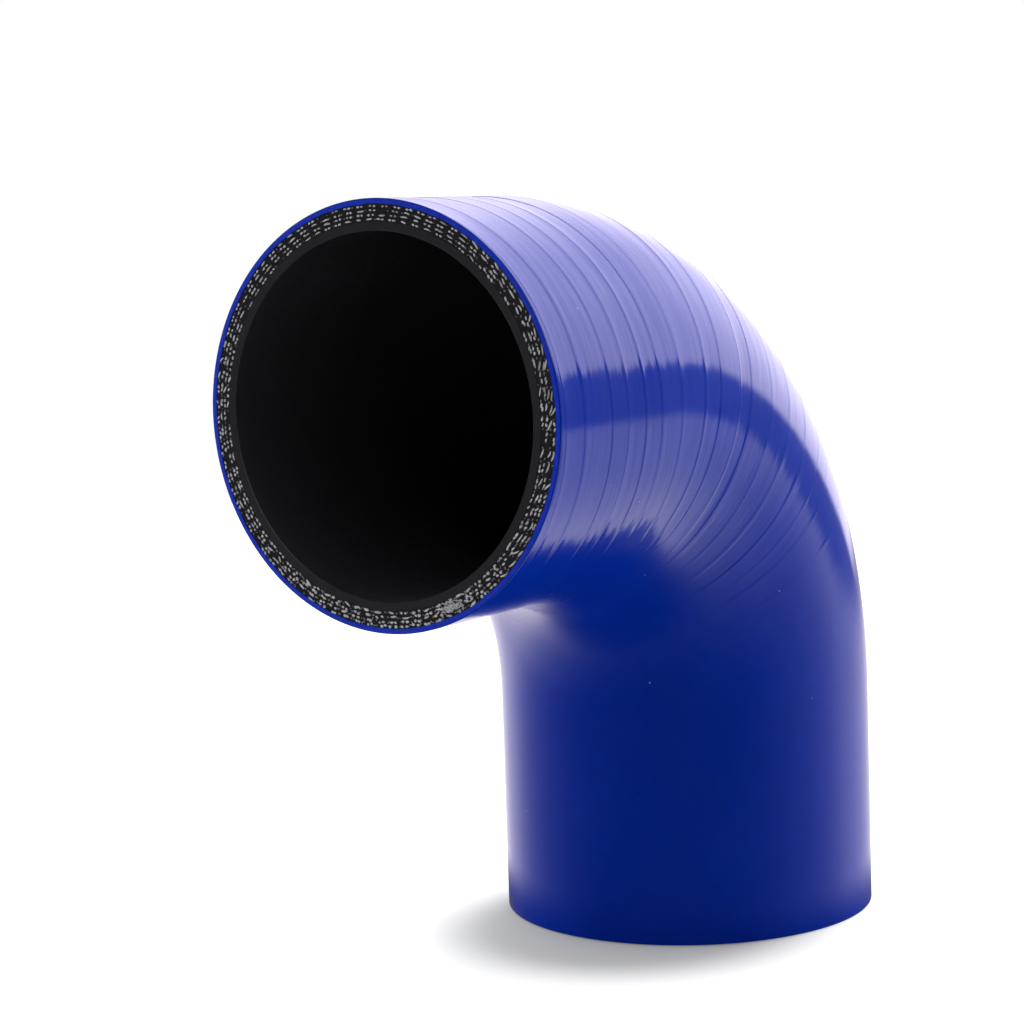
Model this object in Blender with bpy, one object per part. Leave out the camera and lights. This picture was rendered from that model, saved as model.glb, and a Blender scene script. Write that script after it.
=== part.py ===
# Silicone elbow hose, 90 degrees, standing on its lower cut end. Metres, +Z up.
# A black liner, four fabric plies and a blue cover are wrapped round a bent mandrel and cured into one wall.
# The tape that presses them leaves a winding step round the cover, and both ends are cut square.
import math

import bmesh
import bpy
from mathutils import Matrix, Vector

# Bore and wall, from the inside out
BORE_DIAMETER = 0.063
LINER_THICKNESS = 0.0015
PLY_COUNT = 4
PLY_THICKNESS = 0.00075
COVER_THICKNESS = 0.0010

# Centre line: straight lower leg, bend, straight upper leg
LOWER_STRAIGHT = 0.044
BEND_RADIUS = 0.0619
BEND_ANGLE = math.radians(90)
UPPER_STRAIGHT = 0.0361

# Marks of the wrapping tape, measured along the centre line
TAPE_PITCH = 0.0062
TAPE_STEP = 0.00015
TAPE_STEP_WIDTH = 0.0007
TAPE_FADE = 0.05
SLOW_DRIFT = 0.17
SLOW_DRIFT_TURNS = 5.3
QUICK_DRIFT = 0.05
QUICK_DRIFT_TURNS = 2.3

# Facets
SEGMENTS = 64
BEND_STATIONS = 14

# Layers of the wall, in the order of their materials
LAYERS = ("cover", "plies", "liner")

BORE_RADIUS = BORE_DIAMETER / 2
LINER_RADIUS = BORE_RADIUS + LINER_THICKNESS
PLY_RADIUS = LINER_RADIUS + PLY_COUNT * PLY_THICKNESS
OUTER_RADIUS = PLY_RADIUS + COVER_THICKNESS

BEND_START = LOWER_STRAIGHT
TAPE_START = BEND_START - TAPE_PITCH
BEND_END = BEND_START + BEND_RADIUS * BEND_ANGLE
HOSE_LENGTH = BEND_END + UPPER_STRAIGHT


def clear_scene():
    for old in list(bpy.data.objects):
        bpy.data.objects.remove(old, do_unlink=True)


def silicone(name, colour, roughness):
    material = bpy.data.materials.new(name)
    material.use_nodes = True
    shader = material.node_tree.nodes["Principled BSDF"]
    shader.inputs["Base Color"].default_value = (*colour, 1.0)
    shader.inputs["Roughness"].default_value = roughness
    shader.inputs["Metallic"].default_value = 0.0
    material.diffuse_color = (*colour, 1.0)
    return material


def turned(s):
    """Angle that the centre line has turned through at arc length s."""
    return min(max((s - BEND_START) / BEND_RADIUS, 0.0), BEND_ANGLE)


def centre_line(s):
    """Point and direction of the centre line, which runs on straight past both cut ends."""
    angle = turned(s)
    along = Vector((math.sin(angle), 0.0, math.cos(angle)))
    bend = Vector((BEND_RADIUS * (1 - math.cos(angle)), 0.0, BEND_START + BEND_RADIUS * math.sin(angle)))
    straight = min(s - BEND_START, 0.0) + max(s - BEND_END, 0.0)
    return bend + along * straight, along


def tube_point(s, turn, radius):
    """Point on a tube round the centre line. Turn 0 faces the inside of the bend."""
    centre, along = centre_line(s)
    inward = Vector((along.z, 0.0, -along.x))
    angle = 2 * math.pi * turn
    return centre + radius * (math.cos(angle) * inward + math.sin(angle) * Vector((0.0, 1.0, 0.0)))


def bore_wall(bm):
    """Smooth bore from cut end to cut end. Returns its lower and its upper ring."""
    bend = [BEND_START + (BEND_END - BEND_START) * i / BEND_STATIONS for i in range(BEND_STATIONS + 1)]
    rings = []
    for s in (0.0, *bend, HOSE_LENGTH):
        rings.append([bm.verts.new(tube_point(s, k / SEGMENTS, BORE_RADIUS)) for k in range(SEGMENTS)])
    for low, high in zip(rings, rings[1:]):
        for k in range(SEGMENTS):
            after = (k + 1) % SEGMENTS
            face = bm.faces.new([low[k], high[k], high[after], low[after]])
            face.material_index = LAYERS.index("liner")
    return rings[0], rings[-1]


def tape_edge(turns):
    """Arc length of the tape's edge after so many turns. The hand-wound pitch drifts."""
    slow = SLOW_DRIFT * math.sin(2 * math.pi * turns / SLOW_DRIFT_TURNS)
    quick = QUICK_DRIFT * math.sin(2 * math.pi * turns / QUICK_DRIFT_TURNS)
    return TAPE_START + TAPE_PITCH * (turns + slow + quick)


def tape_depth(s):
    """Depth of the step, which fades out towards the smooth lower leg."""
    share = min(max((s - TAPE_START) / TAPE_FADE, 0.0), 1.0)
    return TAPE_STEP * share * share * (3 - 2 * share)


def wound_wall(bm):
    """Outer wall as one helical ribbon: each turn rises to its edge, then drops to the next turn."""
    spare_turns = 3
    turns = math.ceil((HOSE_LENGTH - TAPE_START) / TAPE_PITCH) + 2 * spare_turns
    half_step = TAPE_STEP_WIDTH / 2
    rows = []
    for turn in range(turns + 1):
        low_row, high_row = [], []
        for k in range(SEGMENTS):
            wound = turn - spare_turns + k / SEGMENTS
            start = tape_edge(wound) + half_step
            end = tape_edge(wound + 1) - half_step
            low_row.append(bm.verts.new(tube_point(start, k / SEGMENTS, OUTER_RADIUS - tape_depth(start))))
            high_row.append(bm.verts.new(tube_point(end, k / SEGMENTS, OUTER_RADIUS)))
        rows += [low_row, high_row]
    for row, (low, high) in enumerate(zip(rows, rows[1:])):
        for k in range(SEGMENTS - 1):
            bm.faces.new([low[k], low[k + 1], high[k + 1], high[k]])
        if row + 3 < len(rows):
            seam_low, seam_high = rows[row + 2][0], rows[row + 3][0]
            bm.faces.new([low[-1], seam_low, seam_high, high[-1]])


def cut_square(bm, point, outwards):
    """Trims the wall at a plane and returns the edges of the cut."""
    whole = bm.verts[:] + bm.edges[:] + bm.faces[:]
    cut = bmesh.ops.bisect_plane(bm, geom=whole, plane_co=point, plane_no=outwards, dist=1e-7, clear_outer=True)
    return [item for item in cut["geom_cut"] if isinstance(item, bmesh.types.BMEdge)]


def ring_edges(bm, ring):
    return [bm.edges.get((ring[k], ring[(k + 1) % SEGMENTS])) for k in range(SEGMENTS)]


def cut_ring(bm, centre, along, radius):
    """Closed ring in the plane of a cut end."""
    inward = Vector((along.z, 0.0, -along.x))
    ring = []
    for k in range(SEGMENTS):
        angle = 2 * math.pi * k / SEGMENTS
        way = math.cos(angle) * inward + math.sin(angle) * Vector((0.0, 1.0, 0.0))
        ring.append(bm.verts.new(centre + radius * way))
    for k in range(SEGMENTS):
        bm.edges.new((ring[k - 1], ring[k]))
    return ring


def cut_end(bm, outer_edges, bore_ring, s, outwards):
    """Square-cut end: a thin ring of cover round a band of plies and the liner."""
    centre, along = centre_line(s)
    ply_ring = cut_ring(bm, centre, along, PLY_RADIUS)
    liner_ring = cut_ring(bm, centre, along, LINER_RADIUS)
    filled = bmesh.ops.triangle_fill(
        bm, edges=outer_edges + ring_edges(bm, ply_ring), use_beauty=True, normal=outwards)
    faces = [item for item in filled["geom"] if isinstance(item, bmesh.types.BMFace)]
    bands = [(ply_ring, liner_ring, "plies"), (liner_ring, bore_ring, "liner")]
    for wide, narrow, layer in bands:
        for k in range(SEGMENTS):
            after = (k + 1) % SEGMENTS
            face = bm.faces.new([wide[k], wide[after], narrow[after], narrow[k]])
            face.material_index = LAYERS.index(layer)
            faces.append(face)
    for face in faces:
        face.normal_update()
        if face.normal.dot(outwards) < 0:
            face.normal_flip()


def add_hose(materials, origin):
    """The whole wall: tape-marked outside with a plain lower leg, smooth bore, two square-cut ends."""
    bm = bmesh.new()
    wound_wall(bm)
    lower_cut = cut_square(bm, Vector((0.0, 0.0, TAPE_START)), Vector((0.0, 0.0, -1.0)))
    leg = bmesh.ops.extrude_edge_only(bm, edges=lower_cut)["geom"]
    leg_verts = [item for item in leg if isinstance(item, bmesh.types.BMVert)]
    bmesh.ops.translate(bm, verts=leg_verts, vec=(0.0, 0.0, -TAPE_START))
    lower_edges = [item for item in leg if isinstance(item, bmesh.types.BMEdge)]
    lower_edges = [edge for edge in lower_edges if all(vert in leg_verts for vert in edge.verts)]

    upper_centre, upper_way = centre_line(HOSE_LENGTH)
    upper_edges = cut_square(bm, upper_centre, upper_way)
    lower_bore, upper_bore = bore_wall(bm)
    cut_end(bm, lower_edges, lower_bore, 0.0, Vector((0.0, 0.0, -1.0)))
    cut_end(bm, upper_edges, upper_bore, HOSE_LENGTH, upper_way)

    mesh = bpy.data.meshes.new("elbow_hose")
    bm.to_mesh(mesh)
    bm.free()
    for material in materials:
        mesh.materials.append(material)
    mesh.shade_smooth()
    mesh.set_sharp_from_angle(angle=math.radians(40))
    hose = bpy.data.objects.new("elbow_hose", mesh)
    hose.parent = origin
    bpy.context.scene.collection.objects.link(hose)


def build():
    clear_scene()
    upper_end, _ = centre_line(HOSE_LENGTH)
    middle = (upper_end.x - OUTER_RADIUS) / 2
    origin = bpy.data.objects.new("hose_origin", None)
    origin.matrix_world = Matrix.Translation((-middle, 0.0, 0.0))
    bpy.context.scene.collection.objects.link(origin)

    cover_blue = silicone("blue_cover_silicone", (0.004, 0.036, 0.44), 0.15)
    ply_black = silicone("fabric_ply_silicone", (0.045, 0.045, 0.052), 0.75)
    liner_black = silicone("black_liner_silicone", (0.022, 0.022, 0.026), 0.5)
    add_hose([cover_blue, ply_black, liner_black], origin)


build()
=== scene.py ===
import math
import random

import bmesh
import bpy
import numpy as np
from mathutils import Matrix, Vector


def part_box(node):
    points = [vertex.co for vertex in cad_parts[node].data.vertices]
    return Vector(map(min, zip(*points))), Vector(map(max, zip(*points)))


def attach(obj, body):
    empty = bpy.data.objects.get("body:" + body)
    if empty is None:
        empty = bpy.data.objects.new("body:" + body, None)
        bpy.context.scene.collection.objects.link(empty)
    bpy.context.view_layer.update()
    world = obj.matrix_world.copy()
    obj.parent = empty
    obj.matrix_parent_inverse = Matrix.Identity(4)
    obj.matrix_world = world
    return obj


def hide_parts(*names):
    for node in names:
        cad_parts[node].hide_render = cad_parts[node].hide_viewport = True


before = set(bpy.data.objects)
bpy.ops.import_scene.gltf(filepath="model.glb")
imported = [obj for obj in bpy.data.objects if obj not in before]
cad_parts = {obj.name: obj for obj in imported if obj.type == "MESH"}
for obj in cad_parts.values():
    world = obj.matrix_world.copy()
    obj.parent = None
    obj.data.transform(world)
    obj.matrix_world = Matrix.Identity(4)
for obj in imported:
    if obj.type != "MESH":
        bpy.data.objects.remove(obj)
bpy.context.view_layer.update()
print("frame loaded")

# Shape of the hose, read from the frame where it holds it. Metres.
hoseLow, hoseHigh = [Vector(corner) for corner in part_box("elbow_hose")]

hose = {
    "outerRadius": hoseHigh.y,
    "boreRadius": 0.0315,
    "linerThickness": 0.0015,
    "pliesThickness": 0.0030,
    "bendRadius": 0.0619,
}
legAxisX = hoseLow.x + hose["outerRadius"]          # axis of the lower leg
armAxisZ = hoseHigh.z - hose["outerRadius"]         # axis of the upper leg
bendStart = armAxisZ - hose["bendRadius"]
bendEnd = bendStart + hose["bendRadius"] * math.pi / 2
hoseLength = bendEnd + hoseHigh.x - legAxisX - hose["bendRadius"]
linerOutside = hose["boreRadius"] + hose["linerThickness"]
skinInside = linerOutside + hose["pliesThickness"]    # where blue meets black


def centreLine(s):
    s = np.asarray(s, float)
    angle = np.clip((s - bendStart) / hose["bendRadius"], 0, math.pi / 2)
    straight = np.minimum(s - bendStart, 0) + np.maximum(s - bendEnd, 0)
    along = np.stack([np.sin(angle), 0 * angle, np.cos(angle)], -1)
    point = np.stack([
        legAxisX + hose["bendRadius"] * (1 - np.cos(angle)),
        0 * angle,
        bendStart + hose["bendRadius"] * np.sin(angle),
    ], -1)
    return point + along * straight[..., None], along


# Turn 0 faces the inside of the bend, and turn 0.5 its outside
def tubePoints(s, turn, radius):
    centre, along = centreLine(s)
    inward = np.stack([along[..., 2], 0 * along[..., 0], -along[..., 0]], -1)
    angle = 2 * math.pi * np.asarray(turn, float)
    across = np.array([0.0, 1.0, 0.0])
    way = np.cos(angle)[..., None] * inward + np.sin(angle)[..., None] * across
    return centre + np.asarray(radius, float)[..., None] * way


# Waves of a hand-laid wall: share, lobes round the hose, length along it, start
handLaidWaves = [
    (0.34, 2, 0.071, 0.0),
    (0.27, 3, -0.047, 2.1),
    (0.21, 5, 0.029, 4.0),
    (0.18, 8, -0.019, 0.6),
]


# Slow unevenness of the wall, from -1 to 1, the same after a full turn
def unevenness(s, turn):
    angle = 2 * math.pi * np.asarray(turn, float)
    lengthwise = 2 * math.pi * np.asarray(s, float)
    return sum(share * np.sin(lobes * angle + lengthwise / length + start)
               for share, lobes, length, start in handLaidWaves)


def meshPiece(name, points, faces, materials):
    mesh = bpy.data.meshes.new(name)
    faces = faces.tolist() if isinstance(faces, np.ndarray) else faces
    mesh.from_pydata(points.reshape(-1, 3).tolist(), [], faces)
    mesh.update()
    for material in materials:
        mesh.materials.append(material)
    piece = bpy.data.objects.new(name, mesh)
    bpy.context.scene.collection.objects.link(piece)
    return piece


def smoothWithCrispEdges(piece, degrees):
    piece.data.shade_smooth()
    piece.data.set_sharp_from_angle(angle=math.radians(degrees))


# Short ways to join a node tree's numbers
def withVector(tree, operation, vector, second):
    made = tree.nodes.new("ShaderNodeVectorMath")
    made.operation = operation
    made.inputs[1].default_value = second
    tree.links.new(vector, made.inputs[0])
    return made.outputs["Value"]


def dotWith(tree, direction, way):
    return withVector(tree, "DOT_PRODUCT", direction, way)


def arithmetic(tree, operation, first, second):
    made = tree.nodes.new("ShaderNodeMath")
    made.operation = operation
    for socket, value in zip(made.inputs, (first, second)):
        if isinstance(value, (int, float)):
            socket.default_value = value
        else:
            tree.links.new(value, socket)
    return made.outputs[0]


def product(tree, first, *others):
    for other in others:
        first = arithmetic(tree, "MULTIPLY", first, other)
    return first


# Brings the values from low to high onto the two values of "to"
def mapRange(tree, kind, value, low, high, to):
    made = tree.nodes.new("ShaderNodeMapRange")
    made.interpolation_type = kind
    for name, number in (("From Min", low), ("From Max", high), ("To Min", to[0]), ("To Max", to[1])):
        made.inputs[name].default_value = number
    tree.links.new(value, made.inputs["Value"])
    return made.outputs["Result"]


def ramped(tree, value, low, high, to=(0.0, 1.0)):
    return mapRange(tree, "SMOOTHSTEP", value, low, high, to)


def mixShaders(tree, amount, first, second):
    made = tree.nodes.new("ShaderNodeMixShader")
    for source, socket in zip((amount, first, second), made.inputs):
        tree.links.new(source, socket)
    return made.outputs[0]


noiseSpan = (0.3, 0.7)       # where nearly all of a noise's values lie


# A material and the steps that build its nodes
class Recipe:
    def __init__(self, name):
        self.material = bpy.data.materials.new(name)
        self.material.use_nodes = True
        self.tree = self.material.node_tree
        self.shader = self.tree.nodes["Principled BSDF"]
        self.output = self.tree.nodes["Material Output"]

    def node(self, kind, **settings):
        made = self.tree.nodes.new(kind)
        for key, value in settings.items():
            setattr(made, key, value)
        return made

    def link(self, source, target):
        self.tree.links.new(source, target)

    def objectPlace(self):
        return self.node("ShaderNodeTexCoord").outputs["Object"]

    def noise(self, scale, detail, rough=0.55):
        made = self.node("ShaderNodeTexNoise")
        made.inputs["Scale"].default_value = scale
        made.inputs["Detail"].default_value = detail
        made.inputs["Roughness"].default_value = rough
        self.link(self.objectPlace(), made.inputs["Vector"])
        return made.outputs["Fac"]

    def spread(self, value, low, high, to=(0.0, 1.0)):
        return mapRange(self.tree, "LINEAR", value, low, high, to)

    def blendColours(self, amount, first, second):
        made = self.node("ShaderNodeMix", data_type="RGBA")
        self.link(amount, made.inputs["Factor"])
        for socket, colour in ((made.inputs[6], first), (made.inputs[7], second)):
            if isinstance(colour, tuple):
                socket.default_value = (*colour, 1.0)
            else:
                self.link(colour, socket)
        return made.outputs[2]

    def calc(self, operation, first, second):
        return arithmetic(self.tree, operation, first, second)

    def bump(self, height, depth, under=None):
        made = self.node("ShaderNodeBump")
        made.inputs["Distance"].default_value = depth
        made.inputs["Strength"].default_value = 1.0
        self.link(height, made.inputs["Height"])
        if under:
            self.link(under, made.inputs["Normal"])
        return made.outputs["Normal"]

    def put(self, **values):
        for key, value in values.items():
            socket = self.shader.inputs[key.replace("_", " ")]
            if isinstance(value, bpy.types.NodeSocket):
                self.link(value, socket)
            elif isinstance(value, tuple):
                socket.default_value = (*value, 1.0)
            else:
                socket.default_value = value


# Glossy blue cover, wound under tape

# A noise is its scale and detail, and its roughness where a third number follows
blueSkin = {
    "deepBlue": (0.0007, 0.029, 0.41),
    "brightBlue": (0.0012, 0.037, 0.49),
    "cloudNoise": (38.0, 4.0),
    "clouds": (0.35, 0.65, (0.0, 0.6)),  # the noise from and to, and the tint that it becomes
    "mottleNoise": (430.0, 2.0),
    "mottle": (0.3, 0.7, (0.0, 0.4)),
    "dust": (0.42, 0.44, 0.55),
    "dustScale": 420.0,
    "dustSize": (0.10, 0.05),           # from the rim of a speck to its middle
    "dustRare": 0.93,                   # share of the cells that hold no speck
    "dustCover": 0.55,
    "dustRough": 0.3,
    "gloss": (0.085, 0.15),
    "glossNoise": (90.0, 5.0),
    "refraction": 1.43,
    "peelNoise": (520.0, 2.0),
    "peelDepth": 0.000006,
    "creaseScale": (420.0, 1.6, 1.6),   # along the hose, then the two ways across it
    "creaseDetail": 2.5,
    "creaseDepth": 0.00011,
    "cutDark": (0.004, 0.037, 0.60),
    "cutBlue": (0.009, 0.050, 0.78),
    "cutGrain": (900.0, 3.0),
    "cutGrainDepth": 0.00002,
    "cutRough": 0.5,
    "cutRefraction": 1.3,
}


def blueSkinMaterial():
    blue = Recipe("blue_silicone_skin")
    clouds = blue.spread(blue.noise(*blueSkin["cloudNoise"]), *blueSkin["clouds"])
    mottle = blue.spread(blue.noise(*blueSkin["mottleNoise"]), *blueSkin["mottle"])
    tint = blue.calc("ADD", clouds, mottle)
    body = blue.blendColours(tint, blueSkin["deepBlue"], blueSkin["brightBlue"])
    # dust: rare pin-point cells
    cells = blue.node("ShaderNodeTexVoronoi", feature="F1")
    cells.inputs["Scale"].default_value = blueSkin["dustScale"]
    blue.link(blue.objectPlace(), cells.inputs["Vector"])
    nearCentre = blue.spread(cells.outputs["Distance"], *blueSkin["dustSize"])
    rare = blue.node("ShaderNodeSeparateColor")
    blue.link(cells.outputs["Color"], rare.inputs[0])
    chosen = blue.calc("GREATER_THAN", rare.outputs[0], blueSkin["dustRare"])
    speck = blue.calc("MULTIPLY", nearCentre, chosen)
    dusty = blue.calc("MULTIPLY", speck, blueSkin["dustCover"])
    shine = blue.spread(blue.noise(*blueSkin["glossNoise"]), *noiseSpan, blueSkin["gloss"])
    # creases that run round the hose between the tape's edges
    place = blue.node("ShaderNodeAttribute", attribute_name="woundPlace")
    creased = blue.node("ShaderNodeAttribute", attribute_name="creased")
    stretched = blue.node("ShaderNodeVectorMath", operation="MULTIPLY")
    stretched.inputs[1].default_value = blueSkin["creaseScale"]
    blue.link(place.outputs["Vector"], stretched.inputs[0])
    creases = blue.node("ShaderNodeTexNoise")
    creases.inputs["Scale"].default_value = 1.0
    creases.inputs["Detail"].default_value = blueSkin["creaseDetail"]
    blue.link(stretched.outputs[0], creases.inputs["Vector"])
    crease = blue.bump(blue.calc("MULTIPLY", creases.outputs["Fac"], creased.outputs["Fac"]),
                       blueSkin["creaseDepth"])
    peel = blue.bump(blue.noise(*blueSkin["peelNoise"]), blueSkin["peelDepth"], under=crease)
    blue.put(
        Base_Color=blue.blendColours(dusty, body, blueSkin["dust"]),
        Roughness=blue.calc("ADD", shine, blue.calc("MULTIPLY", speck, blueSkin["dustRough"])),
        IOR=blueSkin["refraction"],
        Normal=peel,
    )
    return blue.material


def cutBlueMaterial():
    cut = Recipe("blue_silicone_cut_edge")
    grain = cut.noise(*blueSkin["cutGrain"])
    shade = cut.spread(grain, *noiseSpan)
    cut.put(
        Base_Color=cut.blendColours(shade, blueSkin["cutDark"], blueSkin["cutBlue"]),
        Roughness=blueSkin["cutRough"],
        IOR=blueSkin["cutRefraction"],
        Normal=cut.bump(grain, blueSkin["cutGrainDepth"]),
    )
    return cut.material


tape = {
    "pitch": 0.0062,           # along the centre line
    "step": 0.00011,
    "even": 0.58,              # even part of the step, and its swells: share, angle for a turn, start
    "swells": [(0.26, 2.17, 0.5), (0.16, 9.7, 2.0)],
    "fadeStart": 0.064,        # the lower leg was wound smooth
    "fadeEnd": 0.108,
    # inside of the bend: the turn where marks begin, the turn where they are full, what is left at turn 0
    "innerCalm": (0.10, 0.17, 0.12),
    "leastCreased": 0.10,
    "slowDrift": 0.17,
    "slowTurns": 5.3,
    "quickDrift": 0.10,
    "quickTurns": 2.3,
    "around": 192,
    "wave": 0.00005,
    "edgeRound": 0.00014,
    "edgeShape": (0.35, 0.3),  # the rounding's middle point: shares down and in
    "crispAngle": 55,
    "inlay": 0.0015,           # how far the cut ring reaches in behind the plies' face
    "raggedInside": 0.00009,
    "spareTurns": 2,
    # share of the pitch, share of the step's height
    "section": [
        (0.0, 0.3), (0.02, 0.12), (0.045, 0.02), (0.08, 0.0), (0.2, 0.02), (0.4, 0.06),
        (0.55, 0.12), (0.65, 0.19), (0.72, 0.3), (0.78, 0.46), (0.83, 0.67), (0.87, 0.86),
        (0.9, 0.97), (0.92, 1.0), (0.94, 0.93), (0.96, 0.74), (0.98, 0.5),
    ],
}
tapeStart = bendStart - tape["pitch"]


def tapeEdge(turns):
    slow = tape["slowDrift"] * np.sin(2 * math.pi * turns / tape["slowTurns"])
    quick = tape["quickDrift"] * np.sin(2 * math.pi * turns / tape["quickTurns"])
    return tapeStart + tape["pitch"] * (turns + slow + quick)


def eased(value, low, high):
    share = np.clip((value - low) / (high - low), 0, 1)
    return share * share * (3 - 2 * share)


# How much of a mark is there: none on the lower leg, little on the inside of the bend
def markShare(s, turn):
    begins, full, left = tape["innerCalm"]
    fromInside = np.abs((turn + 0.5) % 1.0 - 0.5)
    calm = left + (1 - left) * eased(fromInside, begins, full)
    return eased(s, tape["fadeStart"], tape["fadeEnd"]) * calm


def tapeDepth(s, wound):
    uneven = tape["even"]
    for share, angle, start in tape["swells"]:
        uneven = uneven + share * np.sin(angle * wound + start)
    return tape["step"] * markShare(s, wound) * uneven


# How far along and round the hose each point lies, for the creases of the cover
def woundPlace(points):
    x, y, z = points.T
    centreX = legAxisX + hose["bendRadius"]
    angle = np.clip(np.arctan2(z - bendStart, centreX - x), 0, math.pi / 2)
    s = bendStart + hose["bendRadius"] * angle + np.minimum(z - bendStart, 0) + np.maximum(x - centreX, 0)
    centre, along = centreLine(s)
    away = (points - centre) / np.linalg.norm(points - centre, axis=1)[:, None]
    inwards = away[:, 0] * along[:, 2] - away[:, 2] * along[:, 0]
    turn = np.arctan2(y, inwards * hose["outerRadius"]) / (2 * math.pi)
    least = tape["leastCreased"]
    creased = least + (1 - least) * markShare(s, turn)
    return np.stack([s, inwards, away[:, 1]], -1), creased


# The inner edge of the cover's cut ring follows the outermost yarns: share, waves round it, start
raggedWaves = [(0.4, 17, 0.4), (0.35, 41, 1.9), (0.25, 73, 3.0)]


def raggedInside(angle):
    wave = sum(share * math.sin(count * angle + start) for share, count, start in raggedWaves)
    return skinInside + tape["raggedInside"] * wave


# Moves a ring of verts to a distance along the hose's end axis and to a radius
def placeRing(verts, centre, outwards, height, radiusOf):
    for vert in verts:
        away = vert.co - centre
        flat = away - outwards * away.dot(outwards)
        angle = math.atan2(flat.y, flat.x + flat.z)
        radius = radiusOf(flat.length) if radiusOf else raggedInside(angle)
        vert.co = centre + outwards * height + flat.normalized() * radius


def finishEnd(bm, centre, outwards):
    rounding = tape["edgeRound"]
    down, inward = tape["edgeShape"]
    whole = bm.verts[:] + bm.edges[:] + bm.faces[:]
    cut = bmesh.ops.bisect_plane(
        bm, geom=whole, plane_co=centre - outwards * rounding, plane_no=outwards,
        dist=1e-8, clear_outer=True)
    edges = [item for item in cut["geom_cut"] if isinstance(item, bmesh.types.BMEdge)]
    # height on the end's axis, radius from the radius before, material
    steps = [
        (-down * rounding, lambda r: r - inward * rounding, 0),
        (0.0, lambda r: r - rounding, 0),
        (0.0, None, 1),
        (-tape["inlay"], None, 1),
    ]
    for height, radiusOf, slot in steps:
        made = bmesh.ops.extrude_edge_only(bm, edges=edges)["geom"]
        verts = {item for item in made if isinstance(item, bmesh.types.BMVert)}
        placeRing(verts, centre, outwards, height, radiusOf)
        for face in [item for item in made if isinstance(item, bmesh.types.BMFace)]:
            face.material_index = slot
        edges = [item for item in made if isinstance(item, bmesh.types.BMEdge)
                 and item.verts[0] in verts and item.verts[1] in verts]


def buildCover():
    around = tape["around"]
    shares, heights = np.array(tape["section"]).T
    perTurn = len(shares)
    firstTurn = math.floor(-tapeStart / tape["pitch"]) - tape["spareTurns"]
    lastTurn = math.ceil((hoseLength - tapeStart) / tape["pitch"]) + tape["spareTurns"]
    turnOf = np.repeat(np.arange(firstTurn, lastTurn), perTurn)[:, None]
    share = np.tile(shares, lastTurn - firstTurn)[:, None]
    height = np.tile(heights, lastTurn - firstTurn)[:, None]
    turn = (np.arange(around) / around)[None, :]
    wound = turnOf + turn
    s = tapeEdge(wound) * (1 - share) + tapeEdge(wound + 1) * share
    wave = tape["wave"] * (0.5 + 0.5 * unevenness(s, turn))
    radius = hose["outerRadius"] - tapeDepth(s, wound) * (1 - height) - wave
    points = tubePoints(s, turn, radius)

    index = np.arange(s.size).reshape(s.shape)
    after = np.full(s.shape, -1)
    after[:, :-1] = index[:, 1:]
    after[:-perTurn, -1] = index[perTurn:, 0]
    faces = np.stack([index[:-1], after[:-1], after[1:], index[1:]], -1).reshape(-1, 4)
    faces = faces[(faces >= 0).all(axis=1)]
    cover = meshPiece("blue_cover", points, faces, [blueSkinMaterial(), cutBlueMaterial()])

    bm = bmesh.new()
    bm.from_mesh(cover.data)
    finishEnd(bm, Vector((legAxisX, 0.0, 0.0)), Vector((0.0, 0.0, -1.0)))
    finishEnd(bm, Vector((hoseHigh.x, 0.0, armAxisZ)), Vector((1.0, 0.0, 0.0)))
    bmesh.ops.recalc_face_normals(bm, faces=bm.faces[:])
    bm.to_mesh(cover.data)
    bm.free()
    smoothWithCrispEdges(cover, tape["crispAngle"])
    corners = np.empty(len(cover.data.vertices) * 3)
    cover.data.vertices.foreach_get("co", corners)
    place, creased = woundPlace(corners.reshape(-1, 3))
    marks = cover.data.attributes
    marks.new("woundPlace", "FLOAT_VECTOR", "POINT").data.foreach_set("vector", place.ravel())
    marks.new("creased", "FLOAT", "POINT").data.foreach_set("value", creased)
    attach(cover, "root")
    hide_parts("elbow_hose")
    print("blue cover:", len(cover.data.polygons), "faces")


# Black layers: fabric plies and liner

blackLayers = {
    "around": 288,
    "crispAngle": 50,
    "wallRows": 40,
    "plyFaceRows": 14,
    "linerFaceRows": 5,
    "faceSunk": 0.00008,       # the rubber lies a little below the yarn ends
    "faceRough": 0.00004,
    "faceSeed": 11,
    "linerFaceShare": 0.35,    # of that roughness
    "boreRows": 60,
    "lipRound": 0.00018,
    "lipDegrees": (20, 45, 70),
    "refraction": 1.43,
    "matrix": (0.021, 0.021, 0.025),
    "matrixDark": (0.012, 0.012, 0.015),
    "matrixRough": 0.62,
    "matrixGrain": (1500.0, 5.0, 0.65),
    "matrixDepth": 0.00008,
    "linerFace": (0.031, 0.031, 0.036),
    "linerDark": (0.026, 0.026, 0.030),
    "linerRough": (0.38, 0.5),
    "linerGrain": (600.0, 4.0),
    "linerDepth": 0.00001,
    "linerClouds": (60.0, 3.0),
}


def plyMaterial():
    ply = Recipe("black_ply_rubber")
    grain = ply.noise(*blackLayers["matrixGrain"])
    shade = ply.spread(grain, *noiseSpan)
    ply.put(
        Base_Color=ply.blendColours(shade, blackLayers["matrixDark"], blackLayers["matrix"]),
        Roughness=blackLayers["matrixRough"],
        IOR=blackLayers["refraction"],
        Normal=ply.bump(grain, blackLayers["matrixDepth"]),
    )
    return ply.material


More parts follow.
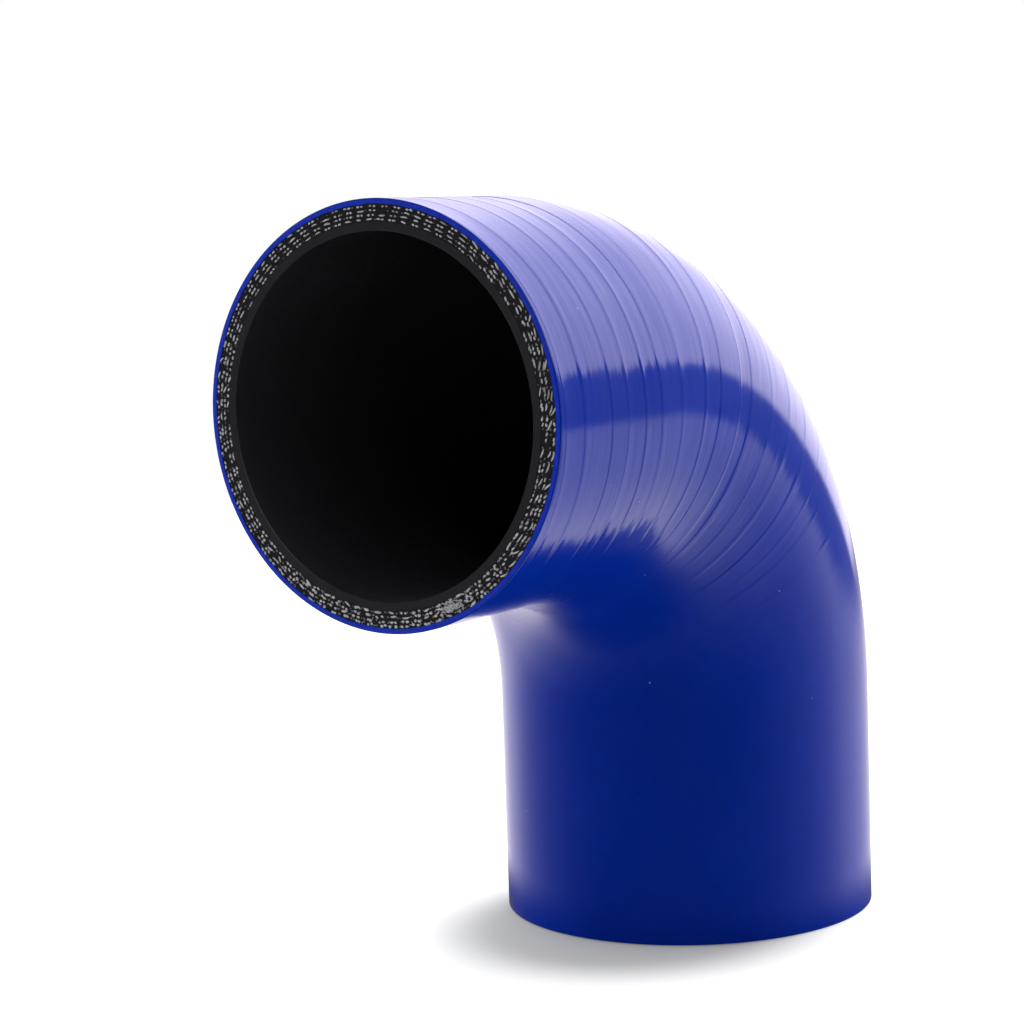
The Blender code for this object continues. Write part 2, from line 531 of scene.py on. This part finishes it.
def linerMaterial():
    liner = Recipe("black_liner_rubber")
    grain = liner.noise(*blackLayers["linerGrain"])
    shade = liner.spread(liner.noise(*blackLayers["linerClouds"]), *noiseSpan)
    liner.put(
        Base_Color=liner.blendColours(shade, blackLayers["linerDark"], blackLayers["linerFace"]),
        Roughness=liner.spread(grain, *noiseSpan, blackLayers["linerRough"]),
        IOR=blackLayers["refraction"],
        Normal=liner.bump(grain, blackLayers["linerDepth"]),
    )
    return liner.material


# A closed tube wall from a loop of (arc length, radius, share of the roughness) rows
def closedLayer(name, loop, material):
    around = blackLayers["around"]
    turn = (np.arange(around) / around)[None, :]
    s, radius, rough = np.array(loop).T[:, :, None]
    rng = np.random.default_rng(blackLayers["faceSeed"])
    grain = rng.uniform(0, 1, (len(loop), around))
    inwards = np.where(s < hoseLength / 2, 1.0, -1.0)
    s = s + inwards * rough * blackLayers["faceRough"] * grain
    points = tubePoints(s, turn, radius)
    index = np.arange(s.size).reshape(s.shape)
    nextRow = np.roll(index, -1, axis=0)
    nextTurn = np.roll(index, -1, axis=1)
    both = np.roll(nextRow, -1, axis=1)
    faces = np.stack([index, nextTurn, both, nextRow], -1).reshape(-1, 4)
    piece = meshPiece(name, points, faces, [material])
    smoothWithCrispEdges(piece, blackLayers["crispAngle"])
    return piece


def smoothWall(radius, rows, start, end):
    return [(start + (end - start) * i / rows, radius, 0.0) for i in range(rows + 1)]


def buildPlies():
    sunk = blackLayers["faceSunk"]
    rows = blackLayers["plyFaceRows"]
    wallRows = blackLayers["wallRows"]
    outer, inner = skinInside + 2 * tape["raggedInside"], linerOutside
    step = (outer - inner) / rows
    loop = smoothWall(outer, wallRows, sunk, hoseLength - sunk)
    loop += [(hoseLength - sunk, outer - step * i, 1.0) for i in range(1, rows)]
    loop += smoothWall(inner, wallRows, hoseLength - sunk, sunk)
    loop += [(sunk, inner + step * i, 1.0) for i in range(1, rows)]
    plies = closedLayer("fabric_plies_wall", loop, plyMaterial())
    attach(plies, "root")
    print("ply wall:", len(plies.data.polygons), "faces")


def buildLiner():
    lip = blackLayers["lipRound"]
    bore = hose["boreRadius"]
    outer = linerOutside
    rows = blackLayers["linerFaceRows"]
    share = blackLayers["linerFaceShare"]
    faceRows = [(0.0, outer - (outer - bore - lip) * i / rows, share) for i in range(1, rows + 1)]
    lipRows = [(lip * (1 - math.cos(a)), bore + lip * (1 - math.sin(a)), 0.0)
               for a in map(math.radians, blackLayers["lipDegrees"])]
    # from the lower face up the outside, over the upper face and down the bore
    loop = smoothWall(outer, blackLayers["wallRows"], 0.0, hoseLength)
    loop += [(hoseLength - s, r, rough) for s, r, rough in faceRows]
    loop += [(hoseLength - s, r, rough) for s, r, rough in lipRows]
    loop += smoothWall(bore, blackLayers["boreRows"], hoseLength - lip, lip)
    loop += lipRows[::-1] + faceRows[::-1]
    liner = closedLayer("smooth_liner", loop, linerMaterial())
    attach(liner, "root")
    print("liner:", len(liner.data.polygons), "faces")


# Cut yarn ends of the four plies

yarn = {
    "plies": 4,
    "columns": 87,
    "drift": (0.18, 2.9),             # how far a column wanders from its place, and over how many columns
    "seed": 23,
    "dot": (0.00050, 0.00078),        # one bundle's length round the hose
    "dash": (0.00100, 0.00165),       # two bundles run together
    "width": (0.00026, 0.00042),
    "dashSlimmer": 0.9,
    "dashBow": (-0.00008, 0.00014),
    "faint": (0.00022, 0.00040),
    "faintSlimmer": 0.6,
    "faintFrom": (0.0007, 0.0018),    # its distance from the column
    "faintTone": (0.0, 0.35),
    "pairGap": 0.00082,
    "stand": 0.00007,                 # above the rubber, level with the cut
    "linerGap": 0.00001,
    "coverShare": 0.6,                # of its half width, kept clear of the cover
    "pale": (0.93, 0.93, 0.95),
    "dull": (0.20, 0.20, 0.21),
    # painted glint: a bundle's colour at its rim, against the full colour at its middle
    "paintedGlintRimTone": 0.68,
    "toneSpread": (0.2, 0.12),        # between bundles, and within a pair
    "strayInwards": 0.7,
    "fibreNoise": (6500.0, 3.0, 0.7),
    "fibreShade": (0.35, 0.65, (0.55, 1.0)),
    "fibreDepth": 0.00004,
    "rough": 0.6,
}


def yarnMaterial():
    cut = Recipe("polyester_yarn_ends")
    # each bundle's own random tone, with a painted glint at its middle
    tone = cut.node("ShaderNodeAttribute", attribute_name="yarnToneAndPaintedGlint")
    fibres = cut.noise(*yarn["fibreNoise"])
    colour = cut.blendColours(tone.outputs["Fac"], yarn["dull"], yarn["pale"])
    shade = cut.spread(fibres, *yarn["fibreShade"])
    tinted = cut.node("ShaderNodeMix", data_type="RGBA", blend_type="MULTIPLY")
    tinted.inputs["Factor"].default_value = 1.0
    grey = cut.node("ShaderNodeCombineColor")
    for socket in grey.inputs:
        cut.link(shade, socket)
    cut.link(colour, tinted.inputs[6])
    cut.link(grey.outputs[0], tinted.inputs[7])
    cut.put(
        Base_Color=tinted.outputs[2],
        Roughness=yarn["rough"],
        Normal=cut.bump(fibres, yarn["fibreDepth"]),
    )
    return cut.material


# Rings of a dome, as shares of its reach and height, below a single point at its top
domeRings = [(1.0, 0.0), (0.88, 0.6), (0.55, 0.92)]
domeSpins = 10


# A flattened dome, bowed along its length, as rings of points from its rim to its top
def domePoints(length, width, height, tilt, bow):
    rings, spins = domeRings, domeSpins
    points = []
    for reach, rise in rings + [(0.0, 1.0)]:
        for i in range(spins if reach else 1):
            a = 2 * math.pi * i / spins
            x, y = reach * length / 2 * math.cos(a), reach * width / 2 * math.sin(a)
            y += bow * (1 - (2 * x / length) ** 2)
            turnedX = x * math.cos(tilt) - y * math.sin(tilt)
            turnedY = x * math.sin(tilt) + y * math.cos(tilt)
            points.append((turnedX, turnedY, rise * height))
    faces = []
    for ring in range(len(rings) - 1):
        low, high = ring * spins, (ring + 1) * spins
        for i in range(spins):
            j = (i + 1) % spins
            faces.append([low + i, low + j, high + j, high + i])
    last = (len(rings) - 1) * spins
    faces += [[last + i, last + (i + 1) % spins, last + spins] for i in range(spins)]
    return points, faces


# How the yarn lies round the upper end, up to each turn: 0 is its underside, 0.25 its side, 0.5 its top
upperStyles = [(0.13, "dense"), (0.40, "streaks"), (0.68, "neat"), (0.90, "dots"), (1.0, "dense")]

yarnStyles = {
    "neat": {
        "dashes": 0.42, "missing": 0.03, "faint": 0.7, "tone": 0.92,
        "stray": 0.00004, "tilt": (0.0, 0.08), "longer": 1.0, "wider": 1.0,
    },
    "dots": {
        "dashes": 0.22, "missing": 0.05, "faint": 1.4, "tone": 0.88,
        "stray": 0.00011, "tilt": (0.1, 0.28), "longer": 1.05, "wider": 1.3,
    },
    "streaks": {
        "dashes": 0.55, "missing": 0.08, "faint": 1.3, "tone": 0.90,
        "stray": 0.00011, "tilt": (0.28, 0.20), "longer": 1.25, "wider": 1.1,
    },
    "dense": {
        "dashes": 0.42, "missing": 0.02, "faint": 2.6, "tone": 0.97,
        "stray": 0.00016, "tilt": (0.08, 0.25), "longer": 1.05, "wider": 1.45,
    },
}

# One frayed tuft at the lower right of the upper end
tuft = {
    "yarns": 60,
    "turn": (0.066, 0.0065),
    "from": (0.0004, 0.0020),         # outwards from the liner
    "length": (0.0005, 0.0014),
    "width": (0.00010, 0.00030),
    "tilt": (0.35, 0.5),
    "bow": (-0.0001, 0.0002),
    "tone": (0.6, 1.0),
}


# The lower end isn't seen in the photograph: it has three neat and three dense stretches
def yarnStyle(turn, upper):
    turn %= 1.0
    if not upper:
        return "dense" if math.sin(6 * math.pi * turn) > 0 else "neat"
    return next(name for end, name in upperStyles if turn <= end)


class YarnEnds:
    def __init__(self):
        self.points, self.faces, self.tones, self.count = [], [], [], 0

    def add(self, upper, turn, radius, length, width, tilt, bow, tone):
        half = width / 2 + yarn["linerGap"]
        radius = min(max(radius, linerOutside + half), skinInside - half * yarn["coverShare"])
        points, faces = domePoints(length, width, yarn["stand"], tilt, bow)
        flat = np.array(points)
        base = hoseLength - blackLayers["faceSunk"] if upper else blackLayers["faceSunk"]
        s = base + (1 if upper else -1) * flat[:, 2]
        self.points.append(tubePoints(s, turn + flat[:, 0] / (2 * math.pi * radius), radius + flat[:, 1]))
        for face in faces:
            ends = [self.count + corner for corner in face]
            self.faces.append(ends if upper else ends[::-1])
        # painted glint: the colour grows lighter towards the middle of a bundle, where the fibres glisten
        rim = yarn["paintedGlintRimTone"]
        self.tones += (tone * (rim + (1 - rim) * flat[:, 2] / yarn["stand"])).tolist()
        self.count += len(points)


def buildYarnEnds():
    rng = random.Random(yarn["seed"])
    pitch = (skinInside - linerOutside) / yarn["plies"]
    wander, wanderLength = yarn["drift"]
    betweenBundles, withinPair = yarn["toneSpread"]
    ends = YarnEnds()
    for upper in (True, False):
        for ply in range(yarn["plies"]):
            middle = linerOutside + pitch * (ply + 0.5)
            around = 2 * math.pi * middle
            for column in range(yarn["columns"]):
                home = (column + 0.5 + wander * math.sin(column / wanderLength + ply)) / yarn["columns"]
                style = yarnStyles[yarnStyle(home, upper)]

                def mark(shift, sizes, wide, tone, bow=0.0):
                    ends.add(upper, home + (shift + rng.gauss(0, style["stray"])) / around,
                             middle + rng.gauss(0, style["stray"] * yarn["strayInwards"]),
                             rng.uniform(*sizes) * style["longer"],
                             rng.uniform(*yarn["width"]) * wide * style["wider"],
                             rng.gauss(*style["tilt"]), bow, min(1.0, max(0.0, tone)))

                if rng.random() > style["missing"]:
                    tone = rng.gauss(style["tone"], betweenBundles)
                    if rng.random() < style["dashes"]:
                        mark(0.0, yarn["dash"], yarn["dashSlimmer"], tone, rng.uniform(*yarn["dashBow"]))
                    else:
                        for side in (-1, 1):
                            mark(side * yarn["pairGap"] / 2, yarn["dot"], 1.0,
                                 tone + rng.gauss(0, withinPair))
                for _ in range(int(style["faint"] + rng.random())):
                    mark(rng.uniform(*yarn["faintFrom"]), yarn["faint"], yarn["faintSlimmer"],
                         rng.uniform(*yarn["faintTone"]))
    for _ in range(tuft["yarns"]):
        ends.add(True, rng.gauss(*tuft["turn"]), linerOutside + rng.uniform(*tuft["from"]),
                 rng.uniform(*tuft["length"]), rng.uniform(*tuft["width"]), rng.gauss(*tuft["tilt"]),
                 rng.uniform(*tuft["bow"]), rng.uniform(*tuft["tone"]))
    piece = meshPiece("yarn_ends", np.concatenate(ends.points), ends.faces, [yarnMaterial()])
    tones = piece.data.attributes.new("yarnToneAndPaintedGlint", "FLOAT", "POINT")
    tones.data.foreach_set("value", ends.tones)
    piece.data.shade_smooth()
    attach(piece, "root")
    print("yarn ends:", len(piece.data.polygons), "faces")


# Studio: pale floor, white background, soft light from above and behind

studio = {
    "floorReach": 0.85,
    "floorSides": 96,
    "floorDrop": 0.0002,
    "floorColour": (0.50, 0.50, 0.50),          # for the light that it throws back
    "floorSeenColour": (0.59, 0.588, 0.552),    # for the camera
    "floorRough": 0.9,
    "floorWhiteWithPaintedShadow": (0.17, 0.68),                 # white added for the camera, at the foot and away from it; the smaller amount at the foot paints a shadow there
    # centre and reach of that painted shadow round the foot, set off from the foot's axis
    "paintedShadowCentre": (-0.0069, -0.0002, 0.0),
    "paintedShadowReach": (0.025, 0.0450),
    "backAzimuth": 201.0,                       # the bright side of the set
    "backPower": 2.6,
    "backGain": 0.425,
    "backMost": 1.35,
    "steepGain": (-0.35, -0.6, 1.4),            # the floor close by is brighter
    "steepDark": (-0.76, -1.0),                 # right under the hose it is dark
    "rightAzimuth": 163.0,
    "rightFrom": (0.2, 0.85),
    "rightDim": 0.83,
    "stripHeight": -0.125,                      # dim strip between the floor's edge and the softbox
    "stripBlur": 0.03,
    "stripShare": 0.20,
    "evenRoom": 0.195,                          # for soft light: the whole room
    "backRoom": 1.75,                           # and its bright side
    "overhead": (0.2, 0.95, 0.55),              # the room is dimmer straight above
    "glossTint": (1.0, 0.92, 0.99),
    "contactCentre": (-0.0290, -0.002, 0.0),    # the shadow at the foot, as the gloss shows it
    "contactReach": (0.037, 0.066),
    "contactShade": 0.1,
}

# The big softbox as the gloss shows it: its slanted lower edge, its bright part and its right end
paintedBox = {
    "edgeSlope": 0.42,
    "edgeAzimuth": 81.0,
    "edgeLowest": -0.092,
    "edgeBlur": 0.025,
    "brightAzimuth": 152.0,
    "brightFrom": (0.73, 0.89),
    "levels": (2.1, 2.5),
    "upwards": 0.25,           # it grows brighter with height
    "endAzimuth": 120.0,
    "endFade": (-0.33, 0.10),
}


straightUp = Vector((0.0, 0.0, 1.0))


def level(azimuth):
    return Vector((math.cos(math.radians(azimuth)), math.sin(math.radians(azimuth)), 0.0))


# Brightness of the set in a direction: dark in front of the hose, bright behind it
def backBrightness(tree, direction):
    lifted = arithmetic(tree, "ADD", dotWith(tree, direction, level(studio["backAzimuth"])), 1.0)
    scaled = product(tree, arithmetic(tree, "POWER", lifted, studio["backPower"]), studio["backGain"])
    return arithmetic(tree, "MINIMUM", scaled, studio["backMost"])


def floorMaterial():
    pale = Recipe("pale_floor")
    pale.put(Base_Color=studio["floorColour"], Roughness=studio["floorRough"])
    seen = pale.node("ShaderNodeBsdfDiffuse")
    seen.inputs["Color"].default_value = (*studio["floorSeenColour"], 1.0)
    path = pale.node("ShaderNodeLightPath")
    white = pale.node("ShaderNodeEmission")
    place = pale.objectPlace()
    # painted shadow: less white is added near the foot, so the floor there is darker than its light alone
    # makes it
    fromPaintedShadowCentre = withVector(pale.tree, "DISTANCE", place, studio["paintedShadowCentre"])
    pale.link(ramped(pale.tree, fromPaintedShadowCentre, *studio["paintedShadowReach"], studio["floorWhiteWithPaintedShadow"]),
              white.inputs["Strength"])
    whitened = pale.node("ShaderNodeAddShader")
    pale.link(seen.outputs[0], whitened.inputs[0])
    pale.link(white.outputs[0], whitened.inputs[1])
    toCamera = mixShaders(pale.tree, path.outputs["Is Camera Ray"],
                          pale.shader.outputs[0], whitened.outputs[0])
    # the gloss looks through the floor to the painted room, darkened near the foot
    fromContact = withVector(pale.tree, "DISTANCE", place, studio["contactCentre"])
    shade = ramped(pale.tree, fromContact, *studio["contactReach"], (studio["contactShade"], 1.0))
    through = pale.node("ShaderNodeBsdfTransparent")
    pale.link(shade, through.inputs["Color"])
    toGloss = mixShaders(pale.tree, path.outputs["Is Glossy Ray"], toCamera, through.outputs[0])
    pale.link(toGloss, pale.output.inputs["Surface"])
    return pale.material


def buildFloor():
    sides = studio["floorSides"]
    angle = 2 * math.pi * np.arange(sides) / sides
    reach = studio["floorReach"]
    points = np.stack([reach * np.cos(angle), reach * np.sin(angle), 0 * angle - studio["floorDrop"]], -1)
    floor = meshPiece("floor", points, [list(range(sides))], [floorMaterial()])


# What the gloss shows: the floor, a dim strip beyond its edge and, over a slanted edge, the big softbox
def glossRoom(tree, direction):
    height = dotWith(tree, direction, straightUp)
    slant = dotWith(tree, direction, paintedBox["edgeSlope"] * level(paintedBox["edgeAzimuth"]))
    edge = arithmetic(tree, "MAXIMUM", slant, paintedBox["edgeLowest"])
    aboveEdge = ramped(tree, arithmetic(tree, "SUBTRACT", height, edge),
                       -paintedBox["edgeBlur"], paintedBox["edgeBlur"])
    towardsBright = dotWith(tree, direction, level(paintedBox["brightAzimuth"]))
    glow = ramped(tree, towardsBright, *paintedBox["brightFrom"], paintedBox["levels"])
    higher = arithmetic(tree, "ADD", product(tree, height, paintedBox["upwards"]), 1.0)
    ended = ramped(tree, dotWith(tree, direction, level(paintedBox["endAzimuth"])), *paintedBox["endFade"])
    floorPart = ramped(tree, height, studio["stripHeight"] - studio["stripBlur"],
                       studio["stripHeight"] + studio["stripBlur"], (1.0, studio["stripShare"]))
    start, end, gain = studio["steepGain"]
    steep = product(tree, ramped(tree, height, start, end, (1.0, gain)),
                    ramped(tree, height, *studio["steepDark"], (1.0, 0.0)))
    rightSide = ramped(tree, dotWith(tree, direction, level(studio["rightAzimuth"])),
                       *studio["rightFrom"], (1.0, studio["rightDim"]))
    strip = product(tree, backBrightness(tree, direction), steep, rightSide, floorPart)
    inside = product(tree, glow, higher, ended, aboveEdge)
    outside = product(tree, strip, arithmetic(tree, "SUBTRACT", 1.0, aboveEdge))
    return arithmetic(tree, "ADD", inside, outside)


def buildWorld():
    world = bpy.data.worlds.new("studio_room")
    bpy.context.scene.world = world
    world.use_nodes = True
    tree = world.node_tree
    room = tree.nodes["Background"]
    direction = tree.nodes.new("ShaderNodeTexCoord").outputs["Generated"]
    back = product(tree, backBrightness(tree, direction), studio["backRoom"])
    start, end, share = studio["overhead"]
    above = ramped(tree, dotWith(tree, direction, straightUp), start, end, (1.0, share))
    even = arithmetic(tree, "ADD", product(tree, back, above), studio["evenRoom"])
    tree.links.new(even, room.inputs["Strength"])
    path = tree.nodes.new("ShaderNodeLightPath")
    gloss = tree.nodes.new("ShaderNodeBackground")
    tree.links.new(glossRoom(tree, direction), gloss.inputs["Strength"])
    white = tree.nodes.new("ShaderNodeBackground")
    for background in (room, white):
        background.inputs["Color"].default_value = (1.0, 1.0, 1.0, 1.0)
    gloss.inputs["Color"].default_value = (*studio["glossTint"], 1.0)
    shown = room.outputs[0]
    seenBy = [("Is Glossy Ray", gloss), ("Is Transmission Ray", white), ("Is Camera Ray", white)]
    for ray, background in seenBy:
        shown = mixShaders(tree, path.outputs[ray], shown, background.outputs[0])
    tree.links.new(shown, tree.nodes["World Output"].inputs["Surface"])


# Softboxes round the hose, for the soft light and the shadow; the gloss shows the painted one
softboxes = {
    "key_softbox": {"azimuth": 175.0, "elevation": 50.0, "distance": 1.1, "size": 0.9, "level": 1.6},
    "back_softbox": {"azimuth": 200.0, "elevation": 50.0, "distance": 1.1, "size": 0.9, "level": 0.6},
    "left_softbox": {"azimuth": -55.0, "elevation": 16.0, "distance": 0.9, "size": 0.5, "level": 1.2},
}
softboxTarget = Vector((0.0, 0.0, 0.09))
wattsForLevel = 4            # a level is the brightness of the softbox's face, over a square metre


def buildLamps():
    for name, box in softboxes.items():
        elevation = math.radians(box["elevation"])
        way = math.cos(elevation) * level(box["azimuth"]) + math.sin(elevation) * straightUp
        lamp = bpy.data.lights.new(name, "AREA")
        lamp.shape = "SQUARE"
        lamp.size = box["size"]
        lamp.energy = wattsForLevel * box["level"] * box["size"] ** 2
        stand = bpy.data.objects.new(name, lamp)
        turned = way.to_track_quat("Z", "Y").to_matrix().to_4x4()
        stand.matrix_world = Matrix.Translation(softboxTarget + way * box["distance"]) @ turned
        stand.visible_camera = False
        stand.visible_glossy = False
        bpy.context.scene.collection.objects.link(stand)


# Camera at the photograph's viewpoint

view = {
    "position": (0.409295, 0.263242, 0.136891),
    "yaw": 214.673,
    "pitch": -6.323,
    "roll": -1.946,
    "lens": 89.757,
    "sensor": 36.0,
    "nearest": 0.01,
}


def buildCamera():
    yaw, pitch, roll = (math.radians(view[key]) for key in ("yaw", "pitch", "roll"))
    ahead = Vector((math.cos(pitch) * math.cos(yaw), math.cos(pitch) * math.sin(yaw), math.sin(pitch)))
    sideways = ahead.cross(straightUp).normalized()
    upright = sideways.cross(ahead)
    right = math.cos(roll) * sideways + math.sin(roll) * upright
    up = math.cos(roll) * upright - math.sin(roll) * sideways
    lensData = bpy.data.cameras.new("photo_camera")
    lensData.sensor_fit = "HORIZONTAL"
    lensData.sensor_width = view["sensor"]
    lensData.lens = view["lens"]
    lensData.clip_start = view["nearest"]
    camera = bpy.data.objects.new("photo_camera", lensData)
    turn = Matrix((right, up, -ahead)).transposed().to_4x4()
    camera.matrix_world = Matrix.Translation(Vector(view["position"])) @ turn
    bpy.context.scene.collection.objects.link(camera)
    bpy.context.scene.camera = camera


buildCover()
buildPlies()
buildLiner()
buildYarnEnds()
buildFloor()
buildWorld()
buildLamps()
buildCamera()
bpy.context.scene.view_settings.view_transform = "Standard"
print("studio and camera set")
